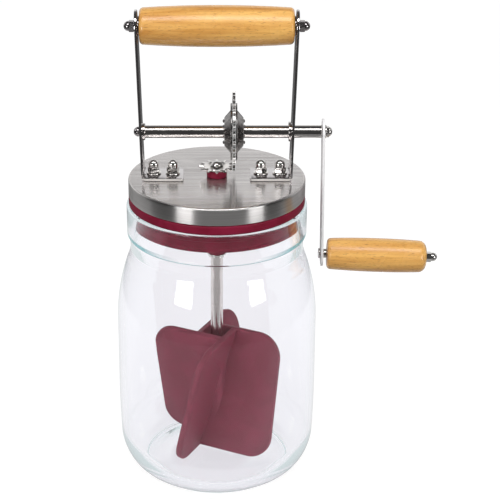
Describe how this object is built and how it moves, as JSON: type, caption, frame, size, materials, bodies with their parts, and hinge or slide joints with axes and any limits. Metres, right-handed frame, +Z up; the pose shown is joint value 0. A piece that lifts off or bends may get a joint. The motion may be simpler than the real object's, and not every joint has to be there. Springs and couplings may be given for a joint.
{
  "type": "butter churn",
  "caption": "Hand-cranked butter churn: glass jar, push-in steel lid with strap handle, geared crank and a pitched-blade paddle on a shaft.",
  "frame": {"origin": "centre of the jar's flat underside, on the surface it stands on", "axes": "+Z up along the jar and the dasher's shaft, +X along the crank's axle towards the crank, +Y away from the viewer of the picture"},
  "size_m": [0.2075, 0.1298, 0.3155],
  "materials": {
    "glass": "clear pressed glass, slightly green at its thick edges",
    "brushed_steel": "satin brushed stainless steel",
    "bright_steel": "polished stainless steel",
    "gear_steel": "stamped steel, slightly darker, worn at the teeth",
    "burgundy_silicone": "burgundy moulded silicone, soft sheen",
    "beech_wood": "turned beech, oiled"
  },
  "bodies": {
    "jar": {"glass_jar": "glass"},
    "lid_unit": {"steel_lid": "brushed_steel", "silicone_seal": "burgundy_silicone", "upper_shaft_bush": "burgundy_silicone", "lower_shaft_bush": "burgundy_silicone", "left_strap": "bright_steel", "right_strap": "bright_steel", "foot_screw_left_outer": "bright_steel", "foot_screw_left_inner": "bright_steel", "foot_screw_right_inner": "bright_steel", "foot_screw_right_outer": "bright_steel", "foot_washer_left_outer": "bright_steel", "foot_washer_left_inner": "bright_steel", "foot_washer_right_inner": "bright_steel", "foot_washer_right_outer": "bright_steel", "foot_nut_left_outer": "bright_steel", "foot_nut_left_inner": "bright_steel", "foot_nut_right_inner": "bright_steel", "foot_nut_right_outer": "bright_steel", "top_grip": "beech_wood", "handle_rod": "brushed_steel", "handle_washer_left": "brushed_steel", "handle_washer_right": "brushed_steel", "handle_nut_left": "bright_steel", "handle_nut_right": "bright_steel", "axle_bush_left": "brushed_steel", "axle_bush_right": "brushed_steel"},
    "crank": {"crank_axle": "brushed_steel", "axle_end_cap": "bright_steel", "toothed_wheel": "gear_steel", "hub_disc_left": "gear_steel", "hub_disc_right": "gear_steel", "hub_sleeve": "brushed_steel", "hub_rivet_1": "gear_steel", "hub_rivet_2": "gear_steel", "hub_rivet_3": "gear_steel", "hub_rivet_4": "gear_steel", "crank_arm": "brushed_steel", "arm_washer": "brushed_steel", "arm_nut": "bright_steel", "grip_spindle": "brushed_steel", "spindle_spacer": "brushed_steel", "spindle_nut": "bright_steel"},
    "grip": {"crank_grip": "beech_wood"},
    "dasher": {"dasher_shaft": "brushed_steel", "star_pinion": "gear_steel", "star_nut": "bright_steel", "thrust_washer": "brushed_steel", "retaining_ring": "brushed_steel", "butter_paddle": "burgundy_silicone"}
  },
  "joints": [
    {"name": "lid_lift", "type": "slide", "parent": "jar", "child": "lid_unit", "axis": [0, 0, 1], "range_m": [0, 0.19]},
    {"name": "crank_spin", "type": "hinge", "parent": "lid_unit", "child": "crank", "pos_m": [0, 0, 0.23448], "axis": [1, 0, 0], "continuous": true},
    {"name": "grip_spin", "type": "hinge", "parent": "crank", "child": "grip", "pos_m": [0.06772, 0, 0.15119], "axis": [0.9993, 0, -0.0366], "continuous": true},
    {"name": "dasher_spin", "type": "hinge", "parent": "lid_unit", "child": "dasher", "pos_m": [0, 0, 0.2], "axis": [0, 0, 1], "continuous": true}
  ],
  "couplings": [
    {"joint": "dasher_spin", "follows": "crank_spin", "ratio": 2.5}
  ]
}
